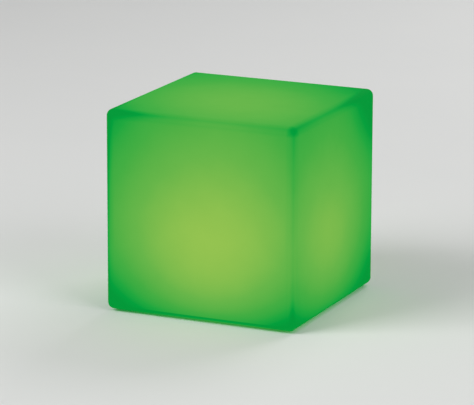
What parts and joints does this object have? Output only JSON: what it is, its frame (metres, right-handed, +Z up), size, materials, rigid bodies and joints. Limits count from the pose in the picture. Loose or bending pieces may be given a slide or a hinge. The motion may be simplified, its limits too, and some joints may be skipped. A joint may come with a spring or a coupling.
{
  "type": "cube light",
  "caption": "Glowing cube lamp: a hollow translucent shell with rounded edges on low feet, lit from a sealed rechargeable light unit with a push button and a capped charging port underneath.",
  "frame": {"origin": "on the ground, under the middle of the cube", "axes": "+Z up, -Y towards the front face, +X to the right of the front face"},
  "size_m": [0.3, 0.3, 0.303],
  "materials": {
    "lit_polyethylene": "moulded matte, lit green from inside",
    "foot_rubber": "matte",
    "insert_brass": "turned",
    "gasket_silicone": "matte",
    "screw_steel": "satin",
    "housing_abs": "fine moulded texture",
    "frosted_polycarbonate": "frosted",
    "white_board": "solder mask",
    "led_package": "moulded",
    "dark_epoxy": "moulded",
    "green_board": "solder mask",
    "capacitor_can": "drawn",
    "white_nylon": "moulded",
    "black_plastic": "moulded",
    "plated_contact": "nickel plated",
    "clear_acrylic": "polished",
    "foam_tape": "foam",
    "cell_wrap": "shrink sleeve",
    "lead_insulation": "extruded",
    "plug_elastomer": "matte",
    "button_abs": "fine moulded texture"
  },
  "bodies": {
    "lamp": {"shell": "lit_polyethylene", "rubber_feet": "foot_rubber", "threaded_inserts": "insert_brass", "flange_gasket": "gasket_silicone", "flange_screws": "screw_steel", "base_plate": "housing_abs", "housing_wall": "housing_abs", "led_standoffs": "insert_brass", "dome_gasket": "gasket_silicone", "diffuser_dome": "frosted_polycarbonate", "dome_screws": "screw_steel", "led_board": "white_board", "leds": "led_package", "remote_receiver": "dark_epoxy", "led_board_screws": "screw_steel", "control_board": "green_board", "control_board_screws": "screw_steel", "driver_chips": "dark_epoxy", "capacitors": "capacitor_can", "wire_connectors": "white_nylon", "link_header": "black_plastic", "link_pins": "plated_contact", "indicator_led": "led_package", "indicator_lens": "clear_acrylic", "holder_pad": "foam_tape", "battery_holder": "black_plastic", "battery_cells": "cell_wrap", "cell_contacts": "plated_contact", "battery_leads": "lead_insulation", "charge_jack": "black_plastic", "jack_contacts": "plated_contact", "jack_seal": "gasket_silicone", "jack_nut": "plated_contact", "jack_leads": "lead_insulation", "plug_anchor": "plug_elastomer", "switch_body": "black_plastic"},
    "button": {"power_button": "button_abs", "button_ring": "gasket_silicone", "switch_plunger": "white_nylon"},
    "plug": {"port_plug": "plug_elastomer"}
  },
  "joints": [
    {"name": "power_button_press", "type": "slide", "parent": "lamp", "child": "button", "axis": [0, 0, 1], "range_m": [0, 0.0015], "stiffness_N_per_m": 1300, "springref_m": -0.0005},
    {"name": "port_plug_swing", "type": "hinge", "parent": "lamp", "child": "plug", "pos_m": [0.016, -0.0236, 0.0045], "axis": [0, 1, 0], "range_deg": [0, 95], "stiffness_Nm_per_rad": 0.006}
  ]
}
